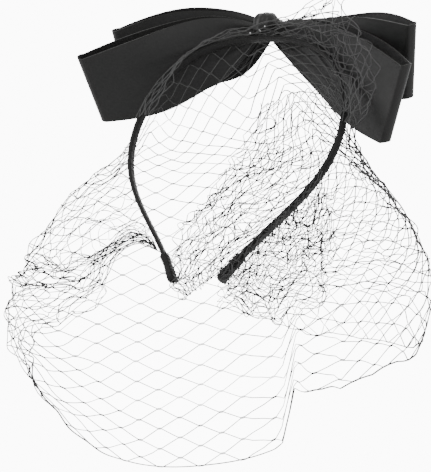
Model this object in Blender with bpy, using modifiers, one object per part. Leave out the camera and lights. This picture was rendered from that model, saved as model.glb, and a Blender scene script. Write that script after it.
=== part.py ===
"""Veil fascinator headband: a slim satin band, a four loop bow and a coarse net face veil.

Metres, +Z up. The wearer looks along -Y and the wearer's left is +X. The origin is the middle
of the band's inner face at the crown, where the band sits on the head.
"""
import math

import bmesh
import bpy
import numpy as np
from mathutils import Vector

# Headband
BAND_WIDTH = 0.0055          # front to back, across the band
BAND_THICKNESS = 0.0026
BAND_HALF_LENGTH = 0.206     # along the band from the crown to one tip
BAND_LEAN = math.radians(27.0)   # how far the crown leans forward of the tips
BAND_CORNER = 0.7            # flat share of the section's width and thickness
BAND_STEPS = 76
ARC_STEPS = 400
# Bend of the band in radians per metre of its length, from the crown to one tip.
BAND_BENDS = [
    # length share, bend
    (0.0, 6.5),
    (0.2, 20.6),
    (0.4, 15.3),
    (0.6, 15.8),
    (0.8, 0.0),
    (1.0, -11.1),
]
CORE_SHARE = 0.6             # the bare core inside a tip wrap, as a share of the band's section
SEAT_GAP = 0.0003            # clearance between pieces that are sewn or glued together

# Tip wraps
WRAP_LENGTH = 0.018
WRAP_WALL = 0.0010
WRAP_CLEARANCE = 0.0003
WRAP_TAPER = 0.18            # how much a wrap narrows at its two ends
WRAP_STEPS = 8
CORE_STEPS = 5

# Bow
RIBBON_WIDTH = 0.046
RIBBON_WALL = 0.0010
PLEAT_DEPTH = 0.0008
PLEAT_COUNT = 3
OPEN_OUT_SHARE = 0.36        # the pleats fade out over this share of a loop's length
ENTRY_CLEARANCE = 0.0005     # from the knot's side to a loop's ends
ENTRY_HALF_GAP = 0.0018      # half the distance between a loop's two ends at the knot
FOLD_RADIUS = 0.0030         # the soft fold at a loop's far end
LEG_STEPS = 12
FOLD_STEPS = 6
LOOP_ROWS = 6
KNOT_WIDTH = 0.0140
KNOT_DEPTH = 0.0225
KNOT_FLOOR = 0.0014          # height of its underside; its lower back edge is notched for the band
KNOT_TOP = 0.0168
KNOT_ROUND = 0.0032
KNOT_BACK = 0.0010           # place of the knot's back face
NOTCH_SHARE = 0.06           # the notch runs along this share of each arm
FRONT_ENTRY = 0.0068         # how far ahead of the band's middle the loops enter the knot
BACK_ENTRY = 0.0190
LOOPS = [
    # name, side, entry, reach, sweep back, lean back, splay, opening
    ("bow_front_left_loop", 1, FRONT_ENTRY, 0.103, 0.0195, 40.0, 10.0, 0.0065),
    ("bow_front_right_loop", -1, FRONT_ENTRY, 0.094, 0.0150, 20.0, 22.0, 0.0055),
    ("bow_back_left_loop", 1, BACK_ENTRY, 0.099, -0.0110, 24.0, 2.0, 0.0110),
    ("bow_back_right_loop", -1, BACK_ENTRY, 0.088, -0.0140, 24.0, 15.0, 0.0110),
]
LOOP_SHARES = (0.0, 0.15, 0.35, 0.62, 1.0)     # from the knot to the fold
LOOP_EDGES = {
    # heights of the ribbon's upper and lower edge at those shares, as shares of its width
    "bow_front_left_loop": [(0.213, 0.0), (0.293, -0.304), (0.315, -0.528), (0.16, -0.765), (-0.146, -0.893)],
    "bow_front_right_loop": [(0.207, -0.011), (0.25, -0.283), (0.191, -0.587), (0.0, -0.957), (-0.389, -1.261)],
    "bow_back_left_loop": [(0.239, 0.033), (0.359, -0.239), (0.435, -0.435), (0.441, -0.520), (0.241, -0.624)],
    "bow_back_right_loop": [(0.235, 0.033), (0.272, -0.261), (0.278, -0.500), (0.261, -0.674), (0.133, -0.704)],
}

# Veil
STRAND = 0.0013              # thickness of a net strand bundle
VEIL_REACH = 0.120           # from the veil's upright axis out to its widest part
VEIL_DROP = 0.250            # from the crown down to the lowest hem
VEIL_AXIS_BACK = 0.020       # the upright axis, behind the crown
SEWN_FROM = 0.875            # the short sides are sewn to the arms between these length shares
SEWN_TO = 0.985
FRONT_SEAM_TO = 0.30         # the net leaves the band's front edge beyond this length share
OUTER_SEAM_FROM = 0.62       # and lies on its outer face beyond this one
CHORD_ROOM = 0.0003          # room for the straight runs between the net's knots along the band
NET_COLUMNS = 10
NET_ROWS = 5
# Sections round the veil, from the wearer's left tip round the face to the right tip. The turn
# is in degrees from straight ahead, positive to the left. The band share is the place on the
# band that the section hangs from. The tuck is where the net stops hanging beside the band and
# swings out: shares of the way from the band to the shoulder, outwards and downwards. Reaches
# are shares of VEIL_REACH, drops are shares of VEIL_DROP.
VEIL_SECTIONS = [
    # turn, band share, tuck out, down, shoulder reach, drop, belly reach, drop, hem reach, drop
    (136, 0.80, 0.50, 0.35, 0.58, 0.42, 0.66, 0.49, 0.60, 0.57),
    (120, 0.70, 0.50, 0.35, 0.79, 0.42, 0.90, 0.52, 0.85, 0.63),
    (104, 0.58, 0.45, 0.35, 0.91, 0.38, 1.15, 0.60, 1.05, 0.72),
    (84, 0.46, 0.35, 0.40, 0.89, 0.36, 1.11, 0.64, 1.00, 0.89),
    (58, 0.32, 0.20, 0.50, 0.83, 0.34, 1.00, 0.64, 0.97, 0.98),
    (32, 0.17, 0.12, 0.60, 0.75, 0.32, 0.95, 0.64, 0.92, 0.97),
    (8, 0.04, 0.12, 0.60, 0.71, 0.31, 0.92, 0.60, 0.87, 0.89),
    (-12, -0.08, 0.12, 0.60, 0.71, 0.32, 0.92, 0.58, 0.87, 0.78),
    (-40, -0.22, 0.12, 0.60, 0.71, 0.36, 0.88, 0.56, 0.82, 0.73),
    (-68, -0.36, 0.20, 0.50, 0.74, 0.38, 0.87, 0.54, 0.82, 0.66),
    (-92, -0.50, 0.35, 0.40, 0.79, 0.40, 0.90, 0.54, 0.88, 0.67),
    (-115, -0.64, 0.45, 0.35, 0.77, 0.42, 0.88, 0.54, 0.87, 0.64),
    (-135, -0.78, 0.50, 0.35, 0.58, 0.44, 0.67, 0.52, 0.65, 0.62),
]

SHARP_ANGLE = math.radians(40.0)
SATIN = (0.012, 0.012, 0.013, 1.0)
NET = (0.010, 0.010, 0.011, 1.0)


def clear_scene():
    for obj in list(bpy.data.objects):
        bpy.data.objects.remove(obj, do_unlink=True)


def make_collection(name):
    coll = bpy.data.collections.new(name)
    bpy.context.scene.collection.children.link(coll)
    return coll


def make_material(name, colour, roughness):
    mat = bpy.data.materials.new(name)
    mat.use_nodes = True
    shader = mat.node_tree.nodes["Principled BSDF"]
    shader.inputs["Base Color"].default_value = colour
    shader.inputs["Roughness"].default_value = roughness
    shader.inputs["Metallic"].default_value = 0.0
    return mat


def smooth_step(value):
    t = min(max(value, 0.0), 1.0)
    return t * t * (3.0 - 2.0 * t)


def smooth_table(knots, columns, at):
    """Natural cubic through the rows of a table, read at the places in at."""
    knots = np.asarray(knots, float)
    values = np.asarray(columns, float)
    steps = np.diff(knots)
    count = len(knots)
    matrix = np.eye(count)
    right = np.zeros_like(values)
    for i in range(1, count - 1):
        matrix[i, i - 1] = steps[i - 1]
        matrix[i, i] = 2.0 * (steps[i - 1] + steps[i])
        matrix[i, i + 1] = steps[i]
        rise = (values[i + 1] - values[i]) / steps[i] - (values[i] - values[i - 1]) / steps[i - 1]
        right[i] = 6.0 * rise
    bends = np.linalg.solve(matrix, right)
    out = []
    for place in at:
        i = int(np.clip(np.searchsorted(knots, place, side="right") - 1, 0, count - 2))
        h = steps[i]
        a = (knots[i + 1] - place) / h
        b = 1.0 - a
        curve = ((a ** 3 - a) * bends[i] + (b ** 3 - b) * bends[i + 1]) * h * h / 6.0
        out.append(a * values[i] + b * values[i + 1] + curve)
    return np.array(out)


def band_arc(steps):
    """Places and headings of one arm in the band's own plane, from the crown to the tip."""
    shares = np.linspace(0.0, 1.0, steps + 1)
    bends = np.interp(shares, [row[0] for row in BAND_BENDS], [row[1] for row in BAND_BENDS])
    step = BAND_HALF_LENGTH / steps
    heading = np.concatenate([[0.0], np.cumsum((bends[1:] + bends[:-1]) * 0.5 * step)])
    across = np.cos(heading)
    down = np.sin(heading)
    out = np.concatenate([[0.0], np.cumsum((across[1:] + across[:-1]) * 0.5 * step)])
    fall = np.concatenate([[0.0], np.cumsum((down[1:] + down[:-1]) * 0.5 * step)])
    return shares, out, fall, heading


ARC_SHARES, ARC_OUT, ARC_FALL, ARC_HEADING = band_arc(ARC_STEPS)
BAND_BACK = Vector((0.0, math.cos(BAND_LEAN), math.sin(BAND_LEAN)))   # square to the band's plane


def plane_point(out, fall):
    """A point of the band's leaning plane, from the crown's middle line."""
    return Vector((out, fall * math.sin(BAND_LEAN), BAND_THICKNESS / 2.0 - fall * math.cos(BAND_LEAN)))


def band_frame(share):
    """Middle line point and outward direction at a signed share of an arm's length."""
    side = -1.0 if share < 0.0 else 1.0
    out = float(np.interp(abs(share), ARC_SHARES, ARC_OUT))
    fall = float(np.interp(abs(share), ARC_SHARES, ARC_FALL))
    turn = float(np.interp(abs(share), ARC_SHARES, ARC_HEADING))
    outward = Vector((side * math.sin(turn), -math.cos(turn) * math.sin(BAND_LEAN),
                      math.cos(turn) * math.cos(BAND_LEAN)))
    return plane_point(side * out, fall), outward


def section_ring(share, width, thickness):
    """A rounded flat section of the band, eight points, square to the band."""
    middle, outward = band_frame(share)
    c = BAND_CORNER
    ring = []
    for across, through in ((1.0, c), (c, 1.0), (-c, 1.0), (-1.0, c),
                            (-1.0, -c), (-c, -1.0), (c, -1.0), (1.0, -c)):
        ring.append(middle + BAND_BACK * (across * width / 2.0) + outward * (through * thickness / 2.0))
    return ring


def loft(name, rings, coll, mat):
    """A closed solid through rings of equal count, with flat ends."""
    bm = bmesh.new()
    rows = [[bm.verts.new(point) for point in ring] for ring in rings]
    count = len(rows[0])
    for first, second in zip(rows[:-1], rows[1:]):
        for i in range(count):
            j = (i + 1) % count
            bm.faces.new((first[i], first[j], second[j], second[i]))
    bm.faces.new(reversed(rows[0]))
    bm.faces.new(rows[-1])
    bmesh.ops.recalc_face_normals(bm, faces=bm.faces)
    return mesh_object(name, bm, coll, mat)


def mesh_object(name, bm, coll, mat):
    mesh = bpy.data.meshes.new(name)
    bm.to_mesh(mesh)
    bm.free()
    mesh.materials.append(mat)
    obj = bpy.data.objects.new(name, mesh)
    coll.objects.link(obj)
    mesh.shade_smooth()
    mesh.set_sharp_from_angle(angle=SHARP_ANGLE)
    return obj


def build_headband(coll, mat):
    """The band runs full size up to the wraps, then its bare core runs on inside them."""
    wrap_share = 1.0 - (WRAP_LENGTH + SEAT_GAP) / BAND_HALF_LENGTH
    tip_share = 1.0 - (WRAP_WALL + WRAP_CLEARANCE) / BAND_HALF_LENGTH
    shares = list(np.linspace(-wrap_share, wrap_share, BAND_STEPS + 1))
    inner = list(np.linspace(wrap_share, tip_share, CORE_STEPS + 1))
    rings = [section_ring(-s, BAND_WIDTH * CORE_SHARE, BAND_THICKNESS * CORE_SHARE) for s in inner[::-1]]
    rings += [section_ring(s, BAND_WIDTH, BAND_THICKNESS) for s in shares]
    rings += [section_ring(s, BAND_WIDTH * CORE_SHARE, BAND_THICKNESS * CORE_SHARE) for s in inner]
    return loft("headband", rings, coll, mat)


def wrap_section():
    """Outer width and thickness of a tip wrap."""
    around = 2.0 * (WRAP_CLEARANCE + WRAP_WALL)
    return BAND_WIDTH * CORE_SHARE + around, BAND_THICKNESS * CORE_SHARE + around


def build_tip_wrap(side, name, coll, cutters, mat):
    """A wound sleeve closed over the tip, with a pocket for the core."""
    start = 1.0 - WRAP_LENGTH / BAND_HALF_LENGTH
    core_width = BAND_WIDTH * CORE_SHARE + 2.0 * WRAP_CLEARANCE
    core_thickness = BAND_THICKNESS * CORE_SHARE + 2.0 * WRAP_CLEARANCE
    width, thickness = wrap_section()
    rings = []
    for k in range(WRAP_STEPS + 1):
        share = start + (1.0 - start) * k / WRAP_STEPS
        swell = 1.0 - (WRAP_TAPER if k in (0, WRAP_STEPS) else 0.0)
        rings.append(section_ring(side * share, width * swell, thickness * swell))
    wrap = loft(name, rings, coll, mat)
    pocket_end = 1.0 - WRAP_WALL / BAND_HALF_LENGTH
    pocket_start = start - WRAP_WALL / BAND_HALF_LENGTH
    pocket = []
    for k in range(WRAP_STEPS + 1):
        share = pocket_start + (pocket_end - pocket_start) * k / WRAP_STEPS
        pocket.append(section_ring(side * share, core_width, core_thickness))
    cut_away(wrap, loft(name + "_pocket", pocket, cutters, mat))
    return wrap


def cut_away(obj, cutter):
    cutter.hide_render = True
    cutter.display_type = "WIRE"
    cut = obj.modifiers.new("Cut", "BOOLEAN")
    cut.operation = "DIFFERENCE"
    cut.object = cutter
    cut.solver = "EXACT"


def build_knot(coll, cutters, mat):
    """A rounded block across the crown, notched so that it closes on the band."""
    height = KNOT_TOP - KNOT_FLOOR
    bm = bmesh.new()
    bmesh.ops.create_cube(bm, size=1.0)
    for vert in bm.verts:
        vert.co.x *= KNOT_WIDTH
        vert.co.y = (vert.co.y - 0.5) * KNOT_DEPTH + KNOT_BACK
        vert.co.z = (vert.co.z + 0.5) * height + KNOT_FLOOR
    obj = mesh_object("bow_knot", bm, coll, mat)
    bevel = obj.modifiers.new("Rounding", "BEVEL")
    bevel.width = KNOT_ROUND
    bevel.segments = 3
    bevel.limit_method = "ANGLE"
    notch = []
    for share in np.linspace(-NOTCH_SHARE, NOTCH_SHARE, CORE_STEPS + 1):
        notch.append(section_ring(share, BAND_WIDTH + 2.0 * SEAT_GAP, BAND_THICKNESS + 2.0 * SEAT_GAP))
    cut_away(obj, loft("bow_knot_notch", notch, cutters, mat))
    return obj


def loop_path(entry, reach, sweep, lean, opening):
    """Stations round a loop seen from above: place, rise above its middle, how far out to the fold.

    The two layers part square to the leaning ribbon, so the far one also stands higher.
    """
    start = KNOT_WIDTH / 2.0 + ENTRY_CLEARANCE

    def spine(t):
        x = start + (reach - FOLD_RADIUS - start) * t
        y = -entry + (sweep + entry) * t * t
        slope = 2.0 * (sweep + entry) * t / (reach - start)
        size = math.hypot(1.0, slope)
        return Vector((x, y, 0.0)), Vector((1.0, slope, 0.0)) / size, Vector((-slope, 1.0, 0.0)) / size

    stations = []
    for layer in (1.0, -1.0):
        leg = []
        for k in range(LEG_STEPS + 1):
            t = k / LEG_STEPS
            place, along, across = spine(t)
            half = ENTRY_HALF_GAP + (FOLD_RADIUS - ENTRY_HALF_GAP) * smooth_step(t)
            if layer < 0.0:
                half += opening * math.sin(math.pi * t)
            leg.append((place + across * (layer * half), -layer * half * math.sin(lean * t), t))
        if layer < 0.0:
            leg.reverse()
            place, along, across = spine(1.0)
            for k in range(1, FOLD_STEPS):
                turn = math.pi * k / FOLD_STEPS
                edge = along * math.sin(turn) + across * math.cos(turn)
                rise = -FOLD_RADIUS * math.cos(turn) * math.sin(lean)
                stations.append((place + edge * FOLD_RADIUS, rise, 1.0))
        stations += leg
    return stations


def build_loop(row, coll, mat):
    """A ribbon wall round the loop's path, pleated at the knot and leaning back at the fold."""
    name, side, entry, reach, sweep, lean_back, splay, opening = row
    lean = math.radians(lean_back)
    path = loop_path(entry, reach, sweep, lean, opening)
    edges = smooth_table(LOOP_SHARES, LOOP_EDGES[name], [station[2] for station in path]) * RIBBON_WIDTH
    bm = bmesh.new()
    grid = []
    for (place, rise, t), (top, bottom) in zip(path, edges):
        tilt = math.radians(splay) * t
        up = Vector((math.tan(tilt), math.tan(lean * t), 1.0))
        middle = place + Vector((0.0, 0.0, rise + (top + bottom) / 2.0))
        fade = 1.0 - smooth_step(t / OPEN_OUT_SHARE)
        column = []
        for j in range(LOOP_ROWS + 1):
            across = 2.0 * j / LOOP_ROWS - 1.0
            pleat = PLEAT_DEPTH * fade * math.sin(PLEAT_COUNT * math.pi * across)
            point = middle + Vector((0.0, pleat, 0.0)) + up * (across * (top - bottom) / 2.0)
            column.append(bm.verts.new((side * point.x, point.y, point.z)))
        grid.append(column)
    for first, second in zip(grid[:-1], grid[1:]):
        for j in range(LOOP_ROWS):
            bm.faces.new((first[j], second[j], second[j + 1], first[j + 1]))
    obj = mesh_object(name, bm, coll, mat)
    wall = obj.modifiers.new("Ribbon wall", "SOLIDIFY")
    wall.thickness = RIBBON_WALL
    wall.offset = 0.0
    wall.use_even_offset = True
    return obj


def sewn_point(share, width, thickness, clear):
    """Beside the band: its front edge near the crown, turning to its outer face down the arms."""
    middle, outward = band_frame(share)
    turn = math.pi / 2.0 * smooth_step((abs(share) - FRONT_SEAM_TO) / (OUTER_SEAM_FROM - FRONT_SEAM_TO))
    ahead = math.cos(turn)
    out = math.sin(turn)
    distance = ahead * width / 2.0 + out * thickness / 2.0 + clear
    return middle + (outward * out - BAND_BACK * ahead) * distance


def veil_rows():
    """Control rows of the veil, left sewn side first, each with its five levels."""
    clear = SEAT_GAP + STRAND / 2.0
    wrap_width, wrap_thickness = wrap_section()
    rows = []
    for side in (1.0, -1.0):
        levels = [SEWN_FROM + (SEWN_TO - SEWN_FROM) * k / 4.0 for k in range(5)]
        rows.append([sewn_point(side * share, wrap_width, wrap_thickness, clear) for share in levels])
    middle = []
    for section in VEIL_SECTIONS:
        turn = math.radians(section[0])
        seam = sewn_point(section[1], BAND_WIDTH, BAND_THICKNESS, clear + CHORD_ROOM)
        outer = []
        for reach, drop in zip(section[4::2], section[5::2]):
            r = reach * VEIL_REACH
            outer.append(Vector((r * math.sin(turn), VEIL_AXIS_BACK - r * math.cos(turn),
                                 -drop * VEIL_DROP)))
        away = outer[0] - seam
        tuck = seam + Vector((away.x * section[2], away.y * section[2], away.z * section[3]))
        middle.append([seam, tuck] + outer)
    return [rows[0]] + middle + [rows[1]]


def veil_surface(along, down):
    """Points of the veil at shares along it, left to right, and down it, band to hem."""
    rows = np.array([[list(point) for point in row] for row in veil_rows()])
    count = len(rows)
    runs = np.linalg.norm(np.diff(rows, axis=0), axis=2).mean(axis=1)
    places = np.concatenate([[0.0], np.cumsum(runs)]) / runs.sum()
    levels = np.linspace(0.0, 1.0, rows.shape[1])
    lines = smooth_table(places, rows.reshape(count, -1), along).reshape(len(along), -1, 3)
    return [smooth_table(levels, line, down) for line in lines]


def net_meshes():
    """Corner places of each net mesh: whole diamonds, halved at the hem and the sewn sides.

    The net hangs from the band by its own knots, so no half meshes run along the band.
    """
    last_i = 2 * NET_COLUMNS
    last_j = 2 * NET_ROWS
    for i in range(last_i + 1):
        for j in range(1, last_j + 1):
            if (i + j) % 2 == 1:
                continue
            ring = [(i - 1, j), (i, j + 1), (i + 1, j), (i, j - 1)]
            inside = [(m, n) for m, n in ring if 0 <= m <= last_i and 0 <= n <= last_j]
            if len(inside) == 2:
                inside.append((i, j))
            yield inside


def build_veil(coll, mat):
    """A diamond lattice on the veil's surface, cut through between the strands."""
    along = np.linspace(0.0, 1.0, 2 * NET_COLUMNS + 1)
    down = np.linspace(0.0, 1.0, 2 * NET_ROWS + 1)
    points = veil_surface(along, down)
    bm = bmesh.new()
    knots = {}
    for corners in net_meshes():
        for m, n in corners:
            if (m, n) not in knots:
                knots[m, n] = bm.verts.new(Vector(points[m][n]))
        bm.faces.new([knots[corner] for corner in corners])
    bmesh.ops.recalc_face_normals(bm, faces=bm.faces)
    obj = mesh_object("veil", bm, coll, mat)
    wire = obj.modifiers.new("Strands", "WIREFRAME")
    wire.thickness = STRAND
    wire.use_even_offset = False
    wire.use_boundary = True
    wire.use_replace = True
    return obj


def main():
    clear_scene()
    coll = make_collection("veil_fascinator_headband")
    cutters = make_collection("cutters")
    satin = make_material("black_satin", SATIN, 0.42)
    wound = make_material("wound_satin", SATIN, 0.5)
    net = make_material("black_net", NET, 0.6)
    build_headband(coll, wound)
    build_tip_wrap(1.0, "left_tip_wrap", coll, cutters, wound)
    build_tip_wrap(-1.0, "right_tip_wrap", coll, cutters, wound)
    build_knot(coll, cutters, satin)
    for row in LOOPS:
        build_loop(row, coll, satin)
    build_veil(coll, net)


main()
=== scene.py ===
# Veil fascinator headband: satin bow, wound band and a diamond net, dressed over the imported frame.
# Metres. +Z up, the wearer looks along -Y, the origin is under the band's crown.
import math
import random

import bmesh
import bpy
import numpy as np
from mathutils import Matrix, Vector


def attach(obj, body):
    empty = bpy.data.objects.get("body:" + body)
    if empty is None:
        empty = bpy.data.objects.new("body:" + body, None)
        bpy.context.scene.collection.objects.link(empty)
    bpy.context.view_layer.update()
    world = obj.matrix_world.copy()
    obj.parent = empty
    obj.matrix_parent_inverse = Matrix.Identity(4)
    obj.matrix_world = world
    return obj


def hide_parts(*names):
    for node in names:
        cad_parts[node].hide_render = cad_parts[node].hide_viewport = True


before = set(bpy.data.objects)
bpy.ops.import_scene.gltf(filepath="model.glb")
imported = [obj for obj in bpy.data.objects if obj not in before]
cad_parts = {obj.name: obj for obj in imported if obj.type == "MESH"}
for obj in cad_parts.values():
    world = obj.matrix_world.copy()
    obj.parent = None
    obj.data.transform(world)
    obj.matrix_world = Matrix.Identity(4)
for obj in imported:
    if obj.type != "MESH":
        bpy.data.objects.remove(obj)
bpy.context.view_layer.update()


# ---------- small helpers ----------

def deselectAll():
    if bpy.context.mode != "OBJECT":
        bpy.ops.object.mode_set(mode="OBJECT")
    bpy.ops.object.select_all(action="DESELECT")


def pick(piece):
    deselectAll()
    piece.select_set(True)
    bpy.context.view_layer.objects.active = piece


def smooth(value):
    t = np.clip(value, 0.0, 1.0)
    return t * t * (3.0 - 2.0 * t)


def readTable(rows, column, at):
    # straight-line reading of one column of a table whose first column rises
    return np.interp(at, [row[0] for row in rows], [row[column] for row in rows])


def naturalCubic(knots, columns, at):
    knots = np.asarray(knots, float)
    values = np.asarray(columns, float)
    steps = np.diff(knots)
    count = len(knots)
    matrix = np.eye(count)
    right = np.zeros_like(values)
    for i in range(1, count - 1):
        matrix[i, i - 1] = steps[i - 1]
        matrix[i, i] = 2.0 * (steps[i - 1] + steps[i])
        matrix[i, i + 1] = steps[i]
        right[i] = 6.0 * ((values[i + 1] - values[i]) / steps[i] - (values[i] - values[i - 1]) / steps[i - 1])
    bends = np.linalg.solve(matrix, right)
    i = np.clip(np.searchsorted(knots, at, side="right") - 1, 0, count - 2)
    h = steps[i][:, None]
    a = ((knots[i + 1] - at) / steps[i])[:, None]
    b = 1.0 - a
    curve = ((a ** 3 - a) * bends[i] + (b ** 3 - b) * bends[i + 1]) * h * h / 6.0
    return a * values[i] + b * values[i + 1] + curve


def sheetGrid(name, across, down, shape):
    # a grid primitive whose corners are moved by shape(share across, share down)
    deselectAll()
    bpy.ops.mesh.primitive_grid_add(x_subdivisions=across, y_subdivisions=down, size=1.0, calc_uvs=True)
    piece = bpy.context.object
    piece.name = name
    for vert in piece.data.vertices:
        vert.co = shape(vert.co.x + 0.5, vert.co.y + 0.5)
    return piece


def addModifier(piece, kind, **settings):
    pick(piece)
    mod = piece.modifiers.new(kind.title(), kind)
    for key, value in settings.items():
        setattr(mod, key, value)
    bpy.ops.object.modifier_apply(modifier=mod.name)


def closeTube(piece):
    # welds a rolled grid along its seam and closes both ends
    pick(piece)
    bpy.ops.object.mode_set(mode="EDIT")
    bpy.ops.mesh.select_all(action="SELECT")
    bpy.ops.mesh.remove_doubles(threshold=0.00001)
    bpy.ops.mesh.select_all(action="DESELECT")
    bpy.ops.mesh.select_non_manifold()
    bpy.ops.mesh.fill()
    bpy.ops.mesh.select_all(action="SELECT")
    bpy.ops.mesh.normals_make_consistent(inside=False)
    bpy.ops.object.mode_set(mode="OBJECT")


def finishPiece(piece, material, nodes=(), angle=50.0):
    pick(piece)
    bpy.ops.object.shade_smooth_by_angle(angle=math.radians(angle))
    piece.data.materials.clear()
    piece.data.materials.append(material)
    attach(piece, "root")
    if nodes:
        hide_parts(*nodes)
    deselectAll()
    return piece


# ---------- camera, floor and light ----------

camera = {"turn": 211.1, "away": 1.3, "aside": -0.0249, "height": -0.1083, "lens": 178.25}


def placeCamera():
    heading = math.radians(camera["turn"])
    right = Vector((math.cos(heading), math.sin(heading), 0.0))
    ahead = Vector((-math.sin(heading), math.cos(heading), 0.0))
    place = right * camera["aside"] - ahead * camera["away"]
    place.z = camera["height"]
    deselectAll()
    bpy.ops.object.camera_add(location=place, rotation=(math.pi / 2.0, 0.0, heading))
    eye = bpy.context.object
    eye.name = "viewCamera"
    eye.data.lens = camera["lens"]
    eye.data.sensor_width = 36.0
    eye.data.sensor_fit = "AUTO"
    eye.data.clip_end = 100.0
    bpy.context.scene.camera = eye


placeCamera()
print("camera placed")


# ---------- shader wiring ----------

class Wire:
    # a node's output that can be used in a sum
    def __init__(self, board, output):
        self.board = board
        self.output = output

    def __add__(self, other):
        return self.board.sum("ADD", self, other)

    def __sub__(self, other):
        return self.board.sum("SUBTRACT", self, other)

    def __rsub__(self, other):
        return self.board.sum("SUBTRACT", other, self)

    def __mul__(self, other):
        return self.board.sum("MULTIPLY", self, other)

    def __truediv__(self, other):
        return self.board.sum("DIVIDE", self, other)

    def __pow__(self, other):
        return self.board.sum("POWER", self, other)

    __radd__ = __add__
    __rmul__ = __mul__


class Board:
    # one material's nodes
    def __init__(self, name):
        self.material = bpy.data.materials.new(name)
        self.material.use_nodes = True
        self.tree = self.material.node_tree
        self.skin = self.tree.nodes["Principled BSDF"]

    def put(self, kind, settings=None, inputs=None, output=0):
        node = self.tree.nodes.new(kind)
        for key, value in (settings or {}).items():
            if key == "stops":
                ramp = node.color_ramp
                while len(ramp.elements) < len(value):
                    ramp.elements.new(0.5)
                for element, (place, colour) in zip(ramp.elements, value):
                    element.position = place
                    element.color = colour
            else:
                setattr(node, key, value)
        for key, value in (inputs or {}).items():
            self.feed(node.inputs[key], value)
        return Wire(self, node.outputs[output])

    def feed(self, socket, value):
        if isinstance(value, Wire):
            self.tree.links.new(value.output, socket)
        else:
            socket.default_value = value

    def sum(self, operation, first, second=0.0):
        return self.put("ShaderNodeMath", {"operation": operation}, {0: first, 1: second})

    def split(self, vector):
        node = self.put("ShaderNodeSeparateXYZ", None, {0: vector}).output.node
        return [Wire(self, output) for output in node.outputs]

    def set(self, **values):
        for key, value in values.items():
            self.feed(self.skin.inputs[key.replace("_", " ")], value)

    def blend(self, share, dark, light):
        return self.put("ShaderNodeMix", {"data_type": "RGBA"}, {0: share, 6: dark, 7: light}, 2)

    def bump(self, height, strength, depth):
        return self.put("ShaderNodeBump", None, {"Height": height, "Strength": strength, "Distance": depth})


def shade(level, warm=1.0):
    return (level * warm, level, level / warm, 1.0)


satinLook = {"dark": 0.0025, "light": 0.008, "rough": 0.42, "ribs": 260.0, "wear": 34.0}


def satinMaterial(name, ribsAcross=True, look=satinLook):
    # filament satin: very fine ribs, a soft broad gleam and faint uneven tension
    board = Board(name)
    place = board.put("ShaderNodeTexCoord", None, None, "UV")
    along, across, rest = board.split(place)
    ribs = board.sum("SINE", (across if ribsAcross else along) * (look["ribs"] * 2.0 * math.pi))
    solid = board.put("ShaderNodeTexCoord", None, None, "Object")
    cloud = board.put("ShaderNodeTexNoise", None, {"Vector": solid, "Scale": look["wear"], "Detail": 3.0})
    fibre = board.put("ShaderNodeTexNoise", None, {"Vector": solid, "Scale": 900.0, "Detail": 2.0})
    edge = board.sum("ABSOLUTE", across - 0.5) * 2.0
    selvage = board.put("ShaderNodeMapRange", None, {"Value": edge, "From Min": 0.955, "From Max": 0.985})
    tone = cloud * 0.55 + fibre * 0.25 + selvage * 0.18
    board.set(
        Base_Color=board.blend(tone, shade(look["dark"]), shade(look["light"], 1.03)),
        Roughness=cloud * 0.12 + fibre * 0.06 + selvage * 0.08 + (look["rough"] - 0.09),
        Normal=board.bump(ribs * 0.35 + fibre * 0.6 + selvage * 1.5, 0.35, 0.00012),
        Sheen_Weight=0.06,
        Sheen_Roughness=0.35,
        Specular_IOR_Level=0.24,
    )
    return board.material


windLook = {"dark": 0.0025, "light": 0.008, "rough": 0.5}


def windMaterial(name):
    # ribbon wound round and round, its weave crossing the band
    board = Board(name)
    solid = board.put("ShaderNodeTexCoord", None, None, "Object")
    place = board.put("ShaderNodeTexCoord", None, None, "UV")
    along, around, rest = board.split(place)
    ribs = board.sum("SINE", (along * 900.0 + around * 6.0) * 2.0 * math.pi)
    cloud = board.put("ShaderNodeTexNoise", None, {"Vector": solid, "Scale": 120.0, "Detail": 4.0})
    fibre = board.put("ShaderNodeTexNoise", None, {"Vector": solid, "Scale": 1500.0, "Detail": 2.0})
    board.set(
        Base_Color=board.blend(cloud * 0.6 + fibre * 0.3, shade(windLook["dark"]), shade(windLook["light"], 1.02)),
        Roughness=cloud * 0.16 + fibre * 0.08 + (windLook["rough"] - 0.12),
        Normal=board.bump(ribs * 0.3 + fibre + cloud * 0.8, 0.5, 0.00014),
        Sheen_Weight=0.05,
        Sheen_Roughness=0.4,
        Specular_IOR_Level=0.16,
    )
    return board.material


threadLook = {"dark": 0.006, "light": 0.080, "rough": 0.6}


def threadMaterial(name):
    # twisted nylon thread: fine plies, some given a lighter base colour as painted highlights
    board = Board(name)
    solid = board.put("ShaderNodeTexCoord", None, None, "Object")
    pliesAndPaintedGlints = board.put("ShaderNodeTexNoise", None, {"Vector": solid, "Scale": 1800.0, "Detail": 2.0})
    cloud = board.put("ShaderNodeTexNoise", None, {"Vector": solid, "Scale": 60.0, "Detail": 3.0})
    # the lighter plies in the base colour are painted highlights; the same plies also set the roughness and bump
    board.set(
        Base_Color=board.blend(pliesAndPaintedGlints * 0.6 + cloud * 0.3, shade(threadLook["dark"]), shade(threadLook["light"])),
        Roughness=cloud * 0.2 + pliesAndPaintedGlints * 0.15 + (threadLook["rough"] - 0.17),
        Normal=board.bump(pliesAndPaintedGlints, 0.6, 0.00008),
        Specular_IOR_Level=0.2,
    )
    return board.material


def paleMaterial(name, level):
    board = Board(name)
    solid = board.put("ShaderNodeTexCoord", None, None, "Object")
    cloud = board.put("ShaderNodeTexNoise", None, {"Vector": solid, "Scale": 3.0, "Detail": 3.0})
    board.set(Base_Color=board.blend(cloud, shade(level), shade(level + 0.02)), Roughness=0.9,
              Specular_IOR_Level=0.1)
    return board.material


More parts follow.
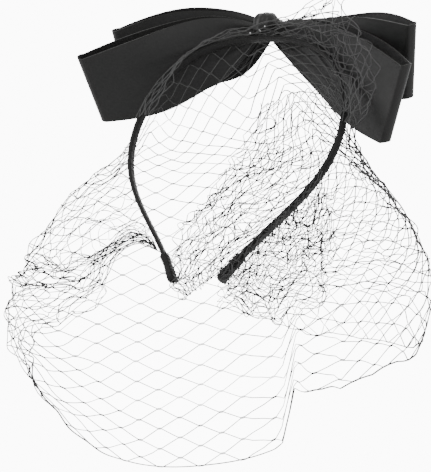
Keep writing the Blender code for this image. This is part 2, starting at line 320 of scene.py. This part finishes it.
satin = satinMaterial("blackSatin")
knotSatin = satinMaterial("knotSatin", False, {"dark": 0.003, "light": 0.009, "rough": 0.46, "ribs": 90.0, "wear": 80.0})
wound = windMaterial("woundSatin")
thread = threadMaterial("netThread")
print("materials ready")


# ---------- the band's line, as in the solid ----------

band = {
    "width": 0.0055, "thickness": 0.0026, "halfLength": 0.206, "lean": 27.0,
    "bends": [(0.0, 6.5), (0.2, 20.6), (0.4, 15.3), (0.6, 15.8), (0.8, 0.0), (1.0, -11.1)],
    "rounds": 20, "steps": 820, "turnPitch": 0.0046, "turnStep": 0.00022,
}
lean = math.radians(band["lean"])
bandBack = Vector((0.0, math.cos(lean), math.sin(lean)))


def bandArc(steps=400):
    shares = np.linspace(0.0, 1.0, steps + 1)
    bends = readTable(band["bends"], 1, shares)
    step = band["halfLength"] / steps
    heading = np.concatenate([[0.0], np.cumsum((bends[1:] + bends[:-1]) * 0.5 * step)])
    out = np.concatenate([[0.0], np.cumsum((np.cos(heading)[1:] + np.cos(heading)[:-1]) * 0.5 * step)])
    fall = np.concatenate([[0.0], np.cumsum((np.sin(heading)[1:] + np.sin(heading)[:-1]) * 0.5 * step)])
    return shares, out, fall, heading


arcShares, arcOut, arcFall, arcHeading = bandArc()


def bandFrame(share):
    side = -1.0 if share < 0.0 else 1.0
    out = float(np.interp(abs(share), arcShares, arcOut))
    fall = float(np.interp(abs(share), arcShares, arcFall))
    turn = float(np.interp(abs(share), arcShares, arcHeading))
    outward = Vector((side * math.sin(turn), -math.cos(turn) * math.sin(lean), math.cos(turn) * math.cos(lean)))
    middle = Vector((side * out, fall * math.sin(lean), band["thickness"] / 2.0 - fall * math.cos(lean)))
    return middle, outward


def roundSection(angle, width, thickness, square=0.62):
    # a rounded flat section
    a = math.copysign(abs(math.cos(angle)) ** square, math.cos(angle))
    b = math.copysign(abs(math.sin(angle)) ** square, math.sin(angle))
    return a * width / 2.0, b * thickness / 2.0


def makeBand():
    reach = 1.0 - 0.0165 / band["halfLength"]

    def shape(along, around):
        share = (2.0 * along - 1.0) * reach
        angle = 2.0 * math.pi * around
        middle, outward = bandFrame(share)
        across, through = roundSection(angle, band["width"] - 0.0003, band["thickness"] - 0.0003)
        turn = (share * band["halfLength"] / band["turnPitch"] + around) % 1.0
        grow = band["turnStep"] * min(turn / 0.85, (1.0 - turn) / 0.15)
        size = 1.0 + grow / math.hypot(across, through)
        return middle + bandBack * (across * size) + outward * (through * size)

    piece = sheetGrid("headbandWound", band["steps"], band["rounds"], shape)
    closeTube(piece)
    finishPiece(piece, wound, ["headband"])


wraps = {"length": 0.018, "width": 0.0064, "thickness": 0.0043, "pitch": 0.0024, "step": 0.00026, "steps": 90,
         "rounds": 24}


def makeTipWrap(side, name, node):
    start = 1.0 - wraps["length"] / band["halfLength"]

    def shape(along, around):
        share = start + (1.0 - start) * along
        middle, outward = bandFrame(side * share)
        swell = 1.0 - 0.16 * (1.0 - smooth(along / 0.06)) - 0.55 * smooth((along - 0.94) / 0.06) ** 2
        swell += 0.05 * math.sin(9.0 * along + side)
        across, through = roundSection(2.0 * math.pi * around, wraps["width"] * swell, wraps["thickness"] * swell, 0.75)
        turn = (along * wraps["length"] / wraps["pitch"] + side * around) % 1.0
        size = 1.0 + wraps["step"] * min(turn / 0.8, (1.0 - turn) / 0.2) / math.hypot(across, through)
        return middle + bandBack * (across * size) + outward * (through * size)

    piece = sheetGrid(name, wraps["steps"], wraps["rounds"], shape)
    closeTube(piece)
    finishPiece(piece, wound, [node])


makeBand()
makeTipWrap(1.0, "leftTipWinding", "left_tip_wrap")
makeTipWrap(-1.0, "rightTipWinding", "right_tip_wrap")
print("band and tip windings ready")


# ---------- bow ----------

ribbon = {
    "width": 0.046, "wall": 0.0007, "openOut": 0.36, "start": 0.0056, "entryHalfGap": 0.0018, "fold": 0.0030,
    "legSteps": 60, "foldSteps": 16, "rows": 36, "creases": 6, "shares": (0.0, 0.15, 0.35, 0.62, 1.0),
}
bowLoops = {
    # piece: node, side, entry, reach, sweep back, lean back, splay, opening, seed,
    # heights of the upper and lower edge at the shares, in ribbon widths
    "frontLeftLoop": ("bow_front_left_loop", 1, 0.0068, 0.1005, 0.0195, 35.4, 0.5, 0.0090, 1,
                      [(0.213, 0.0), (0.293, -0.304), (0.315, -0.528), (0.16, -0.765), (-0.146, -0.893)]),
    "frontRightLoop": ("bow_front_right_loop", -1, 0.0068, 0.094, 0.0148, 15.4, 24.2, 0.0060, 2,
                       [(0.207, -0.011), (0.25, -0.283), (0.191, -0.587), (0.0, -0.957), (-0.389, -1.261)]),
    "backLeftLoop": ("bow_back_left_loop", 1, 0.0190, 0.099, -0.0110, 24.0, 2.0, 0.0110, 3,
                     [(0.239, 0.033), (0.359, -0.239), (0.435, -0.435), (0.441, -0.52), (0.241, -0.624)]),
    "backRightLoop": ("bow_back_right_loop", -1, 0.0190, 0.088, -0.0140, 24.0, 15.0, 0.0110, 4,
                      [(0.235, 0.033), (0.272, -0.261), (0.278, -0.5), (0.261, -0.674), (0.133, -0.704)]),
}


def loopStations(entry, reach, sweep, lean, opening):
    # stations round the loop: place, rise of the layer above the loop's middle, share out, layer
    start = ribbon["start"]
    stations = []

    def spine(t):
        x = start + (reach - ribbon["fold"] - start) * t
        y = -entry + (sweep + entry) * t * t
        slope = 2.0 * (sweep + entry) * t / (reach - start)
        size = math.hypot(1.0, slope)
        return Vector((x, y, 0.0)), Vector((1.0, slope, 0.0)) / size, Vector((-slope, 1.0, 0.0)) / size

    for layer in (1.0, -1.0):
        leg = []
        for k in range(ribbon["legSteps"] + 1):
            t = k / ribbon["legSteps"]
            place, along, across = spine(t)
            half = ribbon["entryHalfGap"] + (ribbon["fold"] - ribbon["entryHalfGap"]) * float(smooth(t))
            if layer < 0.0:
                half += opening * max(math.sin(math.pi * t), 0.0)
            leg.append((place + across * (layer * half), -layer * half * math.sin(lean * t), t, layer))
        if layer < 0.0:
            leg.reverse()
            place, along, across = spine(1.0)
            for k in range(1, ribbon["foldSteps"]):
                turn = math.pi * k / ribbon["foldSteps"]
                edge = along * math.sin(turn) + across * math.cos(turn)
                rise = -ribbon["fold"] * math.cos(turn) * math.sin(lean)
                stations.append((place + edge * ribbon["fold"], rise, 1.0, math.cos(turn)))
        stations += leg
    return stations


def makeLoop(name, node, side, entry, reach, sweep, leanBack, splay, opening, seed, edges):
    lean = math.radians(leanBack)
    stations = loopStations(entry, reach, sweep, lean, opening)
    heights = naturalCubic(ribbon["shares"], edges, np.array([station[2] for station in stations])) * ribbon["width"]
    chance = random.Random(seed)
    creases = [(chance.uniform(-0.85, 0.85), chance.uniform(0.05, 0.13), chance.uniform(-1.0, 1.0))
               for k in range(ribbon["creases"])]
    last = len(stations) - 1
    run = sum((a[0] - b[0]).length for a, b in zip(stations[1:], stations[:-1]))

    def shape(along, down):
        spot = round(along * last)
        place, rise, t, layer = stations[spot]
        top, bottom = heights[spot]
        tilt = math.radians(splay) * t
        up = Vector((math.tan(tilt), math.tan(lean * t), 1.0))
        across = 2.0 * down - 1.0
        opened = float(smooth(t / ribbon["openOut"]))
        fold = 0.0009 * (1.0 - opened) * math.sin(3.0 * math.pi * across)
        fade = (1.0 - float(smooth((t - 0.20) / 0.55))) * float(smooth(t / 0.1))
        for middle, wide, deep in creases:
            gap = (across - middle * (0.45 + 0.55 * t)) / (wide * (0.7 + t))
            fold += 0.0011 * deep * fade * math.exp(-gap * gap)
        belly = 0.0016 * math.sin(math.pi * t) * (1.0 - across * across) * layer
        point = place + Vector((0.0, fold + belly, rise + (top + bottom) / 2.0)) + up * (across * (top - bottom) / 2.0)
        return Vector((side * point.x, point.y, point.z))

    piece = sheetGrid(name, last, ribbon["rows"], shape)
    addModifier(piece, "SOLIDIFY", thickness=ribbon["wall"], offset=0.0, use_even_offset=True)
    pick(piece)
    bpy.ops.object.mode_set(mode="EDIT")
    bpy.ops.mesh.select_all(action="SELECT")
    bpy.ops.mesh.normals_make_consistent(inside=False)
    bpy.ops.object.mode_set(mode="OBJECT")
    finishPiece(piece, satin, [node])
    return piece


for name, row in bowLoops.items():
    makeLoop(name, *row)

knot = {"width": 0.0128, "back": 0.0012, "front": -0.0219, "floor": 0.0022, "top": 0.0168, "folds": 3,
        "domeDepth": 0.0085, "frontDrop": 0.42}


def makeKnot():
    deselectAll()
    bpy.ops.mesh.primitive_uv_sphere_add(segments=96, ring_count=64, radius=1.0, rotation=(0.0, math.pi / 2.0, 0.0))
    piece = bpy.context.object
    piece.name = "knotWrap"
    bpy.ops.object.transform_apply(location=False, rotation=True, scale=True)
    middleY = (knot["back"] + knot["front"]) / 2.0
    middleZ = (knot["floor"] + knot["top"]) / 2.0
    halfY = (knot["back"] - knot["front"]) / 2.0
    halfZ = (knot["top"] - knot["floor"]) / 2.0
    for vert in piece.data.vertices:
        x = max(-1.0, min(1.0, vert.co.x))
        turn = math.atan2(vert.co.z, vert.co.y)
        side = math.copysign(abs(x) ** 0.7, x) if x else 0.0
        waist = max(1.0 - x * x, 0.0) ** 0.26
        folds = 1.0 + 0.020 * math.cos(knot["folds"] * math.pi * (side + 0.12 * math.sin(turn * 2.0)))
        y = math.copysign(abs(math.cos(turn)) ** 0.72, math.cos(turn))
        z = math.copysign(abs(math.sin(turn)) ** 0.72, math.sin(turn))
        place = middleY + y * halfY * waist * folds
        rise = z * halfZ * waist * folds
        if rise > 0.0:
            # the dome stands at the back and the wrap falls away over the forward loops
            rise *= 1.0 - knot["frontDrop"] * float(smooth((knot["back"] - place - knot["domeDepth"]) / 0.005))
        vert.co = Vector((side * knot["width"] / 2.0, place, middleZ + rise))
    finishPiece(piece, knotSatin, ["bow_knot"])


makeKnot()
print("bow ready")


# ---------- veil ----------

veil = {
    "reach": 0.120, "drop": 0.250, "axisBack": 0.020, "sewnFrom": 0.875, "sewnTo": 0.985,
    "frontSeamTo": 0.30, "outerSeamFrom": 0.62,
    # turn, band share, tuck out, down, shoulder reach, drop, belly reach, drop, hem reach, drop
    "sections": [
        (136, 0.80, 0.50, 0.35, 0.58, 0.42, 0.66, 0.49, 0.60, 0.57),
        (120, 0.70, 0.50, 0.35, 0.79, 0.42, 0.90, 0.52, 0.85, 0.63),
        (104, 0.58, 0.45, 0.35, 0.91, 0.38, 1.15, 0.60, 1.05, 0.72),
        (84, 0.46, 0.35, 0.40, 0.89, 0.36, 1.11, 0.64, 1.00, 0.89),
        (58, 0.32, 0.20, 0.50, 0.83, 0.34, 1.00, 0.64, 0.97, 0.98),
        (32, 0.17, 0.12, 0.60, 0.75, 0.32, 0.95, 0.64, 0.92, 0.97),
        (8, 0.04, 0.12, 0.60, 0.71, 0.31, 0.92, 0.60, 0.87, 0.89),
        (-12, -0.08, 0.12, 0.60, 0.71, 0.32, 0.92, 0.58, 0.87, 0.78),
        (-40, -0.22, 0.12, 0.60, 0.71, 0.36, 0.88, 0.56, 0.82, 0.73),
        (-68, -0.36, 0.20, 0.50, 0.74, 0.38, 0.87, 0.54, 0.82, 0.66),
        (-92, -0.50, 0.35, 0.40, 0.79, 0.40, 0.90, 0.54, 0.88, 0.67),
        (-115, -0.64, 0.45, 0.35, 0.77, 0.42, 0.88, 0.54, 0.87, 0.64),
        (-135, -0.78, 0.50, 0.35, 0.58, 0.44, 0.67, 0.52, 0.65, 0.62),
    ],
}
net = {
    "cells": 39, "rows": 44, "meshHeight": 0.0058, "joint": 0.22, "jointGap": 0.05,
    "strand": 0.00027, "hemCord": 0.00048, "fullRun": 0.0016, "thinnest": 0.72,
    # place along the veil, crowding of the cells, strand size, share of the slack bunched at the hem,
    # crumple, how tightly the slack is packed, stretch of the cells down the veil
    "crowding": [(0.0, 2.6, 0.60, 0.9, 1.6, 0.06, 1.0), (0.06, 2.3, 0.75, 0.9, 1.4, 0.10, 1.0),
                 (0.1, 2.0, 0.9, 0.85, 0.8, 0.12, 1.0), (0.16, 1.6, 1.0, 0.8, 0.6, 0.25, 1.0),
                 (0.24, 1.15, 1.05, 0.6, 0.5, 0.35, 1.0), (0.3, 1.0, 1.05, 0.3, 0.4, 0.4, 1.0),
                 (0.4, 1.0, 1.05, 0.1, 0.4, 0.4, 1.0), (0.55, 0.95, 1.1, 0.0, 0.4, 0.4, 1.05),
                 (0.62, 0.8, 1.15, 0.0, 0.35, 0.4, 1.15), (0.7, 0.8, 1.2, 0.0, 0.35, 0.4, 1.2),
                 (0.8, 1.2, 1.0, 0.0, 0.3, 0.4, 1.15), (0.88, 2.2, 0.9, 0.1, 0.5, 0.3, 1.0),
                 (0.94, 3.2, 0.85, 0.2, 0.7, 0.25, 1.0), (1.0, 4.0, 0.75, 0.3, 0.8, 0.25, 1.0)],
    # place along the veil, share of the form's depth that the hem reaches: the gathered rope at the left tip
    "hemline": [(0.0, 0.12), (0.02, 0.20), (0.03, 0.34), (0.04, 0.56), (0.05, 0.80), (0.06, 0.92), (0.08, 1.0)],
    # the same for the step in the hem below the right cheek
    "hemStep": [(0.472, 1.0), (0.492, 0.885), (0.52, 0.92), (0.54, 0.965), (0.58, 0.985), (0.62, 0.97), (0.66, 0.98),
                (0.70, 1.0)],
    "pleat": {"place": 0.487, "width": 0.045, "sharp": 2.0, "depth": 0.005, "from": 0.62},
    "quiver": 0.0007, "crumple": 0.0046,
}


def seamPoint(share, width, thickness, clear):
    middle, outward = bandFrame(share)
    turn = math.pi / 2.0 * float(smooth((abs(share) - veil["frontSeamTo"]) / (veil["outerSeamFrom"] - veil["frontSeamTo"])))
    ahead = math.cos(turn)
    out = math.sin(turn)
    return middle + (outward * out - bandBack * ahead) * (ahead * width / 2.0 + out * thickness / 2.0 + clear)


def veilSurface(columns=181, levels=121):
    # the veil's form as columns of points evenly spaced down the cloth
    rows = []
    sewn = {}
    for side in (1.0, -1.0):
        shares = np.linspace(veil["sewnFrom"], veil["sewnTo"], 5)
        sewn[side] = [seamPoint(side * s, wraps["width"], wraps["thickness"], 0.0002) for s in shares]
    for section in veil["sections"]:
        turn = math.radians(section[0])
        seam = seamPoint(section[1], band["width"], band["thickness"], 0.0002)
        outer = []
        for reach, drop in zip(section[4::2], section[5::2]):
            r = reach * veil["reach"]
            outer.append(Vector((r * math.sin(turn), veil["axisBack"] - r * math.cos(turn), -drop * veil["drop"])))
        away = outer[0] - seam
        tuck = seam + Vector((away.x * section[2], away.y * section[2], away.z * section[3]))
        rows.append([seam, tuck] + outer)
    rows = np.array([[list(p) for p in row] for row in [sewn[1.0]] + rows + [sewn[-1.0]]])
    runs = np.linalg.norm(np.diff(rows, axis=0), axis=2).mean(axis=1)
    places = np.concatenate([[0.0], np.cumsum(runs)]) / runs.sum()
    lines = naturalCubic(places, rows.reshape(len(rows), -1), np.linspace(0.0, 1.0, columns)).reshape(columns, -1, 3)
    grid = []
    lengths = []
    for line in lines:
        fine = naturalCubic(np.linspace(0.0, 1.0, 5), line, np.linspace(0.0, 1.0, 4 * levels))
        walk = np.concatenate([[0.0], np.cumsum(np.linalg.norm(np.diff(fine, axis=0), axis=1))])
        even = np.linspace(0.0, walk[-1], levels)
        grid.append(np.stack([np.interp(even, walk, fine[:, k]) for k in range(3)], axis=1))
        lengths.append(walk[-1])
    return np.array(grid), np.array(lengths)


veilGrid, veilLengths = veilSurface()


def gridPoint(along, down):
    # the veil's point at shares along and down its form
    x = np.clip(along, 0.0, 1.0) * (len(veilGrid) - 1)
    y = np.clip(down, 0.0, 1.0) * (veilGrid.shape[1] - 1)
    i = np.clip(x.astype(int), 0, len(veilGrid) - 2)
    j = np.clip(y.astype(int), 0, veilGrid.shape[1] - 2)
    fx = (x - i)[:, None]
    fy = (y - j)[:, None]
    return ((veilGrid[i, j] * (1 - fx) + veilGrid[i + 1, j] * fx) * (1 - fy)
            + (veilGrid[i, j + 1] * (1 - fx) + veilGrid[i + 1, j + 1] * fx) * fy)


def ripple(u, w, seed, waves=9, short=0.9, long=3.4):
    # smooth crumple from a few seeded waves, in cell widths
    chance = random.Random(seed)
    total = np.zeros_like(u)
    for k in range(waves):
        size = chance.uniform(short, long)
        turn = chance.uniform(0.0, math.pi)
        phase = chance.uniform(0.0, 2.0 * math.pi)
        total += np.sin(2.0 * math.pi * (u * math.cos(turn) + 0.25 * w * math.sin(turn)) / size + phase)
    return total / math.sqrt(waves)


crowdAlong = np.linspace(0.0, 1.0, 401)
crowdSum = np.concatenate([[0.0], np.cumsum(readTable(net["crowding"], 1, (crowdAlong[1:] + crowdAlong[:-1]) / 2.0))])
crowdSum /= crowdSum[-1]


def veilPoint(u, w):
    # u in cells along the net, w in rows below the band
    along = np.interp(u / net["cells"], crowdSum, crowdAlong)
    cloth = net["rows"] * net["meshHeight"] * readTable(net["crowding"], 6, along)
    hemAt = readTable(net["hemline"], 1, along)
    length = np.interp(along, np.linspace(0.0, 1.0, len(veilLengths)), veilLengths) * hemAt
    ratio = np.clip(length / cloth, 0.02, 0.999)
    above = np.clip(1.0 - w / net["rows"], 0.0, 1.0)
    below = 1.0 - above
    hemShare = readTable(net["crowding"], 3, along)
    packed = np.minimum(readTable(net["crowding"], 5, along), 0.85 * ratio)
    plain = (ratio - packed) / (1.0 - packed)

    def walk(far):
        # full size cloth first, then the slack packed into what is left
        return np.where(far < plain, far, plain + (far - plain) * packed) / ratio

    down = hemAt * (1.0 - walk(above) * (1.0 - hemShare) - (1.0 - walk(below)) * hemShare)
    down = down * (1.0 - (1.0 - readTable(net["hemStep"], 1, along)) * smooth((down - 0.45) / 0.5))
    # one sharp pleat at the hem in front of the chin
    pleat = net["pleat"]
    beside = (along - pleat["place"]) / pleat["width"]
    pull = smooth((down - pleat["from"]) / 0.3) * smooth((1.0 - np.abs(beside)) / 0.2)
    bent = np.sign(beside) * np.abs(beside) ** pleat["sharp"]
    along = along + (bent - beside) * pleat["width"] * pull * (np.abs(beside) < 1.0)
    plunge = pull * pleat["depth"] * np.sin(math.pi * np.clip(beside * 1.6, -1.0, 1.0))
    point = gridPoint(along, down)
    step = 0.004
    alongWay = gridPoint(along + step, down) - gridPoint(along - step, down)
    downWay = gridPoint(along, down + step) - gridPoint(along, down - step)
    normal = np.cross(alongWay, downWay)
    normal /= np.linalg.norm(normal, axis=1)[:, None] + 1e-12
    alongWay /= np.linalg.norm(alongWay, axis=1)[:, None] + 1e-12
    downWay /= np.linalg.norm(downWay, axis=1)[:, None] + 1e-12
    tight = (1.0 - packed) * ((above > plain) * (1.0 - hemShare) + (below > plain) * hemShare)
    crowd = readTable(net["crowding"], 1, along)
    slack = np.clip(tight + 0.25 * (crowd - 1.0), 0.0, 1.0)
    swing = net["quiver"] + net["crumple"] * slack ** 0.8 * readTable(net["crowding"], 4, along)
    free = smooth(np.minimum(along, 1.0 - along) / 0.10) * smooth(down / 0.05)
    free *= 1.0 - 0.55 * (1.0 - smooth((down - 0.15) / 0.25)) * (1.0 - smooth((np.abs(along - 0.5) - 0.12) / 0.15))
    swing = swing * free
    shift = normal * (swing * ripple(u, w, 11) + plunge)[:, None]
    shift += alongWay * (0.45 * swing * ripple(u, w, 23))[:, None]
    shift += downWay * (0.45 * swing * ripple(u, w, 37))[:, None]
    return point + shift, readTable(net["crowding"], 2, along)


def zigzagRows(cells, rows, firstRow=0):
    # each thread of the net as (u, w) places: level joints with sloping runs between them
    for j in range(firstRow, rows + 1):
        places = []
        for i in range(2 * cells + 1):
            peak = (i + j) % 2 == 0
            w = j - 0.5 if peak else j + 0.5
            w += net["jointGap"] if peak else -net["jointGap"]
            places += [(i - net["joint"] / 2.0, w), (i + net["joint"] / 2.0, w)]
            nextW = j + 0.5 - net["jointGap"] if peak else j - 0.5 + net["jointGap"]
            for part in (0.33, 0.67):
                places.append((i + net["joint"] / 2.0 + (1.0 - net["joint"]) * part, w + (nextW - w) * part))
        places = places[1:-3]
        yield np.array([(min(max(u / 2.0, 0.0), cells), w) for u, w in places])


def threadPiece(name, threads, size, nodes=()):
    # tubes along the threads, drawn as one bevelled curve and made a mesh
    curve = bpy.data.curves.new(name, "CURVE")
    curve.dimensions = "3D"
    curve.bevel_depth = size
    curve.bevel_resolution = 0
    curve.use_fill_caps = True
    for points, sizes in threads:
        spline = curve.splines.new("POLY")
        spline.points.add(len(points) - 1)
        # where the net is pulled together its short runs are drawn finer
        runs = np.linalg.norm(np.diff(points, axis=0), axis=1)
        shortest = np.minimum(np.append(runs, runs[-1]), np.insert(runs, 0, runs[0]))
        fine = np.clip(shortest / net["fullRun"], net["thinnest"], 1.0)
        for point, place, thick in zip(spline.points, points, sizes * fine):
            point.co = (place[0], place[1], place[2], 1.0)
            point.radius = thick
    piece = bpy.data.objects.new(name, curve)
    bpy.context.scene.collection.objects.link(piece)
    pick(piece)
    bpy.ops.object.convert(target="MESH")
    piece = bpy.context.object
    finishPiece(piece, thread, nodes, 180.0)
    return piece


def makeVeil():
    threads = []
    for places in zigzagRows(net["cells"], net["rows"] - 1):
        points, sizes = veilPoint(places[:, 0], places[:, 1] + 0.5)
        threads.append((points, sizes))
    threadPiece("veilNet", threads, net["strand"], ["veil"])
    u = np.linspace(0.0, net["cells"], 16 * net["cells"])
    points, sizes = veilPoint(u, np.full_like(u, net["rows"] - 0.1))
    inner = smooth(np.minimum(u, net["cells"] - u) / (0.3 * net["cells"]))
    threadPiece("veilHemCord", [(points, 0.45 + 0.55 * inner)], net["hemCord"])


margin = {
    "cells": 16, "rows": 9, "from": 0.44, "to": -0.47,
    # band share (falling), then how far the loose edge reaches to the right arm's side, up and back, in metres
    "edge": [(-0.47, 0.014, -0.004, 0.008), (-0.42, 0.026, 0.001, 0.011), (-0.36, 0.028, 0.007, 0.012),
             (-0.30, 0.026, 0.013, 0.013), (-0.25, 0.021, 0.024, 0.012), (-0.20, 0.022, 0.028, 0.010),
             (-0.14, 0.026, 0.025, 0.009), (-0.09, 0.024, 0.018, 0.008), (-0.05, 0.014, 0.011, 0.007),
             (0.0, 0.004, 0.005, 0.006), (0.14, 0.007, 0.004, 0.006), (0.26, 0.013, 0.005, 0.006),
             (0.36, 0.018, 0.004, 0.006), (0.44, 0.012, 0.000, 0.005)],
    "crumple": 0.0030,
}


def marginPoint(u, w):
    # the net's spare edge, turned up behind the band and caught with glue at the knot
    points = []
    shares = margin["from"] + (margin["to"] - margin["from"]) * u / margin["cells"]
    rise = np.clip(w / margin["rows"], 0.0, 1.0)
    for share, up in zip(shares, rise):
        middle, outward = bandFrame(share)
        behind = middle + bandBack * (band["width"] / 2.0 + 0.0006)
        right, high, back = (float(readTable(margin["edge"], k, share)) for k in (1, 2, 3))
        away = Vector((-right * up, back * math.sin(math.pi / 2.0 * up), high * up))
        points.append(behind + outward * (0.0012 * (1.0 - up)) + away)
    points = np.array([list(point) for point in points])
    swing = margin["crumple"] * smooth(rise / 0.3) * (0.35 + 0.65 * smooth((-shares + 0.02) / 0.12))
    shift = np.stack([0.8 * ripple(u * 1.4, w, 51), np.abs(ripple(u * 1.4, w, 53)), 0.9 * ripple(u * 1.4, w, 57)], axis=1)
    return points + shift * swing[:, None], np.ones(len(u))


def makeMargin():
    threads = []
    for places in zigzagRows(margin["cells"], margin["rows"] - 1):
        threads.append(marginPoint(places[:, 0], places[:, 1] + 0.5))
    threadPiece("veilMargin", threads, net["strand"])
    u = np.linspace(0.0, margin["cells"], 12 * margin["cells"])
    threads = [marginPoint(u, np.full_like(u, 0.4))]
    threadPiece("veilSelvage", threads, net["hemCord"] * 0.7)


looseFolds = {
    # the right end of the net, folded in behind the arm and out below it, in layers that cross
    # layer: from and to as shares of the arm, cells, rows, crumple, seed,
    # and its edge as share of the arm, reach sideways, back and down in metres
    "veilInnerFold": [
        (-0.34, -0.985, 14, 22, 0.0019, 71,
         [(-0.985, 0.019, 0.003, 0.014), (-0.95, 0.034, 0.004, 0.012), (-0.86, 0.048, 0.007, 0.011),
          (-0.74, 0.062, 0.010, 0.009), (-0.62, 0.062, 0.012, 0.011), (-0.50, 0.062, 0.010, 0.014),
          (-0.34, 0.046, 0.006, 0.012)]),
        (-0.56, -0.97, 11, 17, 0.0024, 83,
         [(-0.97, 0.022, 0.005, 0.016), (-0.90, 0.040, 0.008, 0.022), (-0.80, 0.052, 0.012, 0.016),
          (-0.70, 0.050, 0.014, 0.002), (-0.56, 0.034, 0.012, -0.006)]),
    ],
    "veilBowFold": [
        (-0.04, -0.44, 9, 9, 0.0022, 61,
         [(-0.44, -0.020, 0.014, 0.004), (-0.36, -0.030, 0.016, -0.002), (-0.28, -0.031, 0.017, -0.008),
          (-0.20, -0.032, 0.017, -0.012), (-0.12, -0.035, 0.016, -0.012), (-0.04, -0.026, 0.012, -0.008)]),
    ],
    "veilOuterFold": [
        (-0.60, -0.985, 12, 20, 0.0022, 91,
         [(-0.985, -0.010, 0.003, 0.016), (-0.95, -0.0185, 0.004, 0.029), (-0.88, -0.024, 0.005, 0.041),
          (-0.80, -0.035, 0.006, 0.042), (-0.70, -0.021, 0.006, 0.040), (-0.60, -0.011, 0.006, 0.033)]),
        (-0.72, -0.97, 9, 14, 0.0026, 97,
         [(-0.97, 0.002, 0.005, 0.022), (-0.90, -0.006, 0.007, 0.034), (-0.82, -0.022, 0.008, 0.030),
          (-0.72, -0.030, 0.008, 0.018)]),
    ],
}


def foldPoint(layer, u, w):
    first, last, cells, rows, crumple, seed, edge = layer
    points = []
    shares = first + (last - first) * u / cells
    reach = np.clip(w / rows, 0.0, 1.0)
    for share, far in zip(shares, reach):
        middle, outward = bandFrame(share)
        sideways, back, down = (float(readTable(edge, k, share)) for k in (1, 2, 3))
        root = middle + bandBack * (band["width"] / 2.0 + 0.0008)
        points.append(root + Vector((sideways * far, back * math.sin(math.pi * 0.75 * far), -down * far)))
    points = np.array([list(point) for point in points])
    ends = smooth(np.minimum(u, cells - u) / 2.0)
    swing = crumple * smooth(reach / 0.2) * (0.4 + 0.6 * ends)
    shift = np.stack([ripple(u * 1.3, w, seed), 0.6 * np.abs(ripple(u * 1.3, w, seed + 2)),
                      ripple(u * 1.3, w, seed + 5)], axis=1)
    return points + shift * swing[:, None], np.full(len(u), 1.0)


def makeLooseFolds():
    for name, layers in looseFolds.items():
        threads = []
        for layer in layers:
            for places in zigzagRows(layer[2], layer[3] - 1):
                threads.append(foldPoint(layer, places[:, 0], places[:, 1] + 0.5))
        threadPiece(name, threads, net["strand"])


glue = {"size": 0.0006, "places": [(0.0052, 0.0022, 0.0044), (-0.0010, 0.0024, 0.0060), (-0.0042, 0.0022, 0.0078),
                                   (-0.0016, 0.0025, 0.0052)]}


def makeGlueBeads():
    # beads of glue where the net is caught at the knot, their light grey base colour a painted glint
    board = Board("glueWithPaintedGlint")
    solid = board.put("ShaderNodeTexCoord", None, None, "Object")
    cloud = board.put("ShaderNodeTexNoise", None, {"Vector": solid, "Scale": 800.0, "Detail": 2.0})
    # the light grey base colour of the glue beads is a painted glint
    board.set(Base_Color=board.blend(cloud, shade(0.25), shade(0.55)), Roughness=cloud * 0.1 + 0.06,
              Specular_IOR_Level=0.6)
    deselectAll()
    beads = []
    for k, place in enumerate(glue["places"]):
        bpy.ops.mesh.primitive_ico_sphere_add(subdivisions=3, radius=glue["size"] * (1.0 - 0.12 * k), location=place)
        bead = bpy.context.object
        bead.scale = (1.0, 0.6, 1.2)
        beads.append(bead)
    deselectAll()
    for bead in beads:
        bead.select_set(True)
    bpy.context.view_layer.objects.active = beads[0]
    bpy.ops.object.join()
    piece = bpy.context.object
    piece.name = "glueBeads"
    bpy.ops.object.transform_apply(location=True, rotation=True, scale=True)
    finishPiece(piece, board.material, (), 180.0)


makeVeil()
makeMargin()
makeLooseFolds()
makeGlueBeads()
print("veil ready")


# ---------- studio ----------

studio = {"floor": -0.40, "size": 1.35, "level": 0.82, "sky": 1.3, "backdrop": 11.0}


def makeStudio():
    deselectAll()
    bpy.ops.mesh.primitive_circle_add(vertices=96, radius=studio["size"], fill_type="NGON",
                                      location=(0.0, 0.0, studio["floor"]))
    ground = bpy.context.object
    ground.name = "studioFloor"
    bpy.ops.object.transform_apply(location=True, rotation=True, scale=True)
    ground.data.materials.append(paleMaterial("paleFloor", studio["level"]))
    world = bpy.data.worlds.new("studioSky")
    world.use_nodes = True
    tree = world.node_tree
    sky = tree.nodes["Background"]
    sky.inputs[0].default_value = (1.0, 1.0, 1.0, 1.0)
    sky.inputs[1].default_value = studio["sky"]
    backdrop = tree.nodes.new("ShaderNodeBackground")
    backdrop.inputs[0].default_value = (1.0, 1.0, 1.0, 1.0)
    backdrop.inputs[1].default_value = studio["backdrop"]
    rays = tree.nodes.new("ShaderNodeLightPath")
    choose = tree.nodes.new("ShaderNodeMixShader")
    tree.links.new(rays.outputs["Is Camera Ray"], choose.inputs[0])
    tree.links.new(sky.outputs[0], choose.inputs[1])
    tree.links.new(backdrop.outputs[0], choose.inputs[2])
    tree.links.new(choose.outputs[0], tree.nodes["World Output"].inputs[0])
    bpy.context.scene.world = world
    lamps = {
        # name: place, size, power
        "keySoftbox": ((-1.2, 1.6, 1.1), 1.2, 40.0),
        "sideSoftbox": ((1.6, 0.9, 0.4), 1.0, 20.0),
        "frontSoftbox": ((0.3, -1.8, 0.8), 1.4, 12.0),
    }
    for name, (place, size, power) in lamps.items():
        deselectAll()
        aim = Vector((0.0, 0.0, -0.08)) - Vector(place)
        bpy.ops.object.light_add(type="AREA", location=place, rotation=aim.to_track_quat("-Z", "Y").to_euler())
        lamp = bpy.context.object
        lamp.name = name
        lamp.data.size = size
        lamp.data.energy = power


makeStudio()
print("studio ready")
